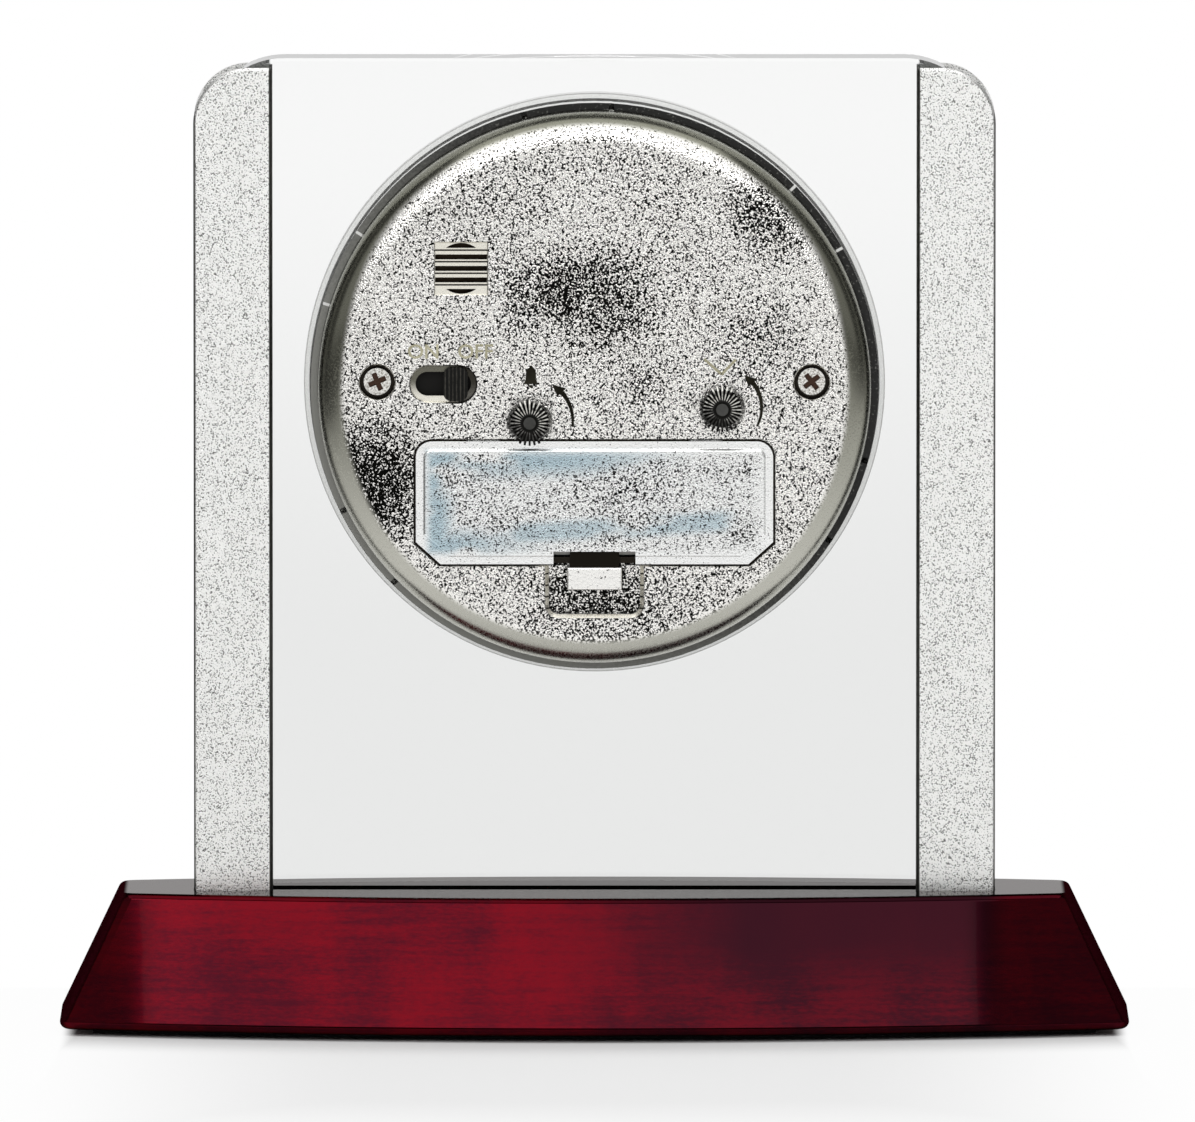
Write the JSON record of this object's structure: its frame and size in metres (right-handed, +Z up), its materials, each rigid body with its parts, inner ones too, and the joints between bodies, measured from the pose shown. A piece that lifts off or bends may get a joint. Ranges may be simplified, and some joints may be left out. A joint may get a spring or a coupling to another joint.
{
  "type": "desk alarm clock",
  "caption": "Quartz alarm clock insert held in a clear glass panel between metal side posts on a bowed lacquered wooden base.",
  "frame": {"origin": "on the table, under the middle of the base", "axes": "+Z up, +X along the base, -Y towards the dial's viewer, +Y towards the case back"},
  "size_m": [0.1736, 0.0474, 0.1585],
  "materials": {
    "lacquered_wood": "dark red piano lacquer over wood grain",
    "black_felt": "short felt",
    "clear_glass": "polished",
    "silver_aluminium": "fine silver grain",
    "plated_bezel": "chrome-plated plastic",
    "window_glass": "polished",
    "white_plastic": "fine satin",
    "dial_paint": "satin white",
    "black_plastic": "fine spark texture",
    "bright_steel": "bright",
    "plated_case": "chrome-plated plastic with a fine grain",
    "clear_soft_plastic": "clear soft plastic",
    "soft_iron": "dull nickel",
    "copper_wire": "enamelled copper wire",
    "board_laminate": "solder mask",
    "brass_disc": "plain brass",
    "magnet": "dark sintered magnet",
    "black_hand_paint": "satin black paint",
    "red_hand_paint": "satin red paint",
    "gold_hand_paint": "satin gold paint"
  },
  "bodies": {
    "stand": {"base_block": "lacquered_wood", "felt_pad": "black_felt", "glass_panel": "clear_glass", "left_side_post": "silver_aluminium", "right_side_post": "silver_aluminium", "bezel_ring": "plated_bezel", "crystal_lens": "window_glass", "dial_surround": "white_plastic", "dial_plate": "dial_paint", "front_plate": "black_plastic", "middle_plate": "black_plastic", "rear_plate": "black_plastic", "plate_screws": "bright_steel", "case_back": "plated_case", "case_screws": "bright_steel", "grip_ring": "clear_soft_plastic", "plate_contact": "bright_steel", "spring_contact": "bright_steel", "stator": "soft_iron", "coil_core": "soft_iron", "coil_bobbin": "white_plastic", "coil_winding": "copper_wire", "circuit_board": "board_laminate", "quartz_can": "bright_steel", "control_chip": "black_plastic", "buzzer_disc": "brass_disc", "switch_body": "black_plastic"},
    "door": {"battery_door": "plated_case"},
    "latch": {"door_latch": "plated_case"},
    "alarm_switch": {"switch_slider": "black_plastic", "switch_wiper": "bright_steel"},
    "alarm_setting": {"alarm_wheel": "white_plastic", "alarm_hand": "gold_hand_paint"},
    "alarm_setter": {"alarm_set_shaft": "white_plastic", "alarm_knob": "plated_case"},
    "minute_arbor": {"cannon_pinion": "white_plastic", "minute_hand": "black_hand_paint"},
    "hour_pipe": {"hour_wheel": "white_plastic", "hour_hand": "black_hand_paint"},
    "minute_wheel_body": {"minute_wheel": "white_plastic"},
    "time_setter": {"time_set_shaft": "white_plastic", "time_knob": "plated_case"},
    "centre": {"centre_wheel": "white_plastic"},
    "third": {"third_wheel": "white_plastic"},
    "seconds": {"seconds_wheel": "white_plastic", "second_hand": "red_hand_paint"},
    "step": {"step_wheel": "white_plastic"},
    "motor": {"rotor": "magnet"}
  },
  "joints": [
    {"name": "door_swing", "type": "hinge", "parent": "stand", "child": "door", "pos_m": [0, 0.0114, 0.0968], "axis": [1, 0, 0], "range_deg": [0, 25]},
    {"name": "latch_press", "type": "slide", "parent": "door", "child": "latch", "axis": [0, 0, 1], "range_m": [0, 0.001], "stiffness_N_per_m": 400, "springref_m": -0.0005},
    {"name": "alarm_switch_slide", "type": "slide", "parent": "stand", "child": "alarm_switch", "axis": [1, 0, 0], "range_m": [0, 0.004]},
    {"name": "alarm_hand_turn", "type": "hinge", "parent": "stand", "child": "alarm_setting", "pos_m": [0, 0, 0.1052], "axis": [0, 1, 0], "continuous": true},
    {"name": "alarm_knob_turn", "type": "hinge", "parent": "stand", "child": "alarm_setter", "pos_m": [0.0105, 0, 0.1001], "axis": [0, 1, 0], "continuous": true},
    {"name": "minute_hand_turn", "type": "hinge", "parent": "stand", "child": "minute_arbor", "pos_m": [0, 0, 0.1052], "axis": [0, 1, 0], "continuous": true},
    {"name": "hour_hand_turn", "type": "hinge", "parent": "stand", "child": "hour_pipe", "pos_m": [0, 0, 0.1052], "axis": [0, 1, 0], "continuous": true},
    {"name": "minute_wheel_turn", "type": "hinge", "parent": "stand", "child": "minute_wheel_body", "pos_m": [-0.00959, 0, 0.10564], "axis": [0, 1, 0], "continuous": true},
    {"name": "time_knob_turn", "type": "hinge", "parent": "stand", "child": "time_setter", "pos_m": [-0.0207, 0, 0.1023], "axis": [0, 1, 0], "continuous": true},
    {"name": "second_hand_turn", "type": "hinge", "parent": "stand", "child": "seconds", "pos_m": [0, 0, 0.1052], "axis": [0, 1, 0], "continuous": true},
    {"name": "centre_wheel_turn", "type": "hinge", "parent": "stand", "child": "centre", "pos_m": [0, 0, 0.1052], "axis": [0, 1, 0], "continuous": true},
    {"name": "third_wheel_turn", "type": "hinge", "parent": "stand", "child": "third", "pos_m": [0.00345, 0, 0.11118], "axis": [0, 1, 0], "continuous": true},
    {"name": "step_wheel_turn", "type": "hinge", "parent": "stand", "child": "step", "pos_m": [-0.00495, 0, 0.11015], "axis": [0, 1, 0], "continuous": true},
    {"name": "rotor_turn", "type": "hinge", "parent": "stand", "child": "motor", "pos_m": [-0.01074, 0, 0.11226], "axis": [0, 1, 0], "continuous": true}
  ],
  "couplings": [
    {"joint": "alarm_knob_turn", "follows": "alarm_hand_turn", "ratio": -2.625},
    {"joint": "hour_hand_turn", "follows": "minute_hand_turn", "ratio": 0.083333},
    {"joint": "minute_wheel_turn", "follows": "minute_hand_turn", "ratio": -0.33333},
    {"joint": "time_knob_turn", "follows": "minute_hand_turn", "ratio": 0.54545},
    {"joint": "third_wheel_turn", "follows": "second_hand_turn", "ratio": -0.13333},
    {"joint": "centre_wheel_turn", "follows": "second_hand_turn", "ratio": 0.016667},
    {"joint": "step_wheel_turn", "follows": "second_hand_turn", "ratio": -5},
    {"joint": "rotor_turn", "follows": "second_hand_turn", "ratio": 30}
  ]
}
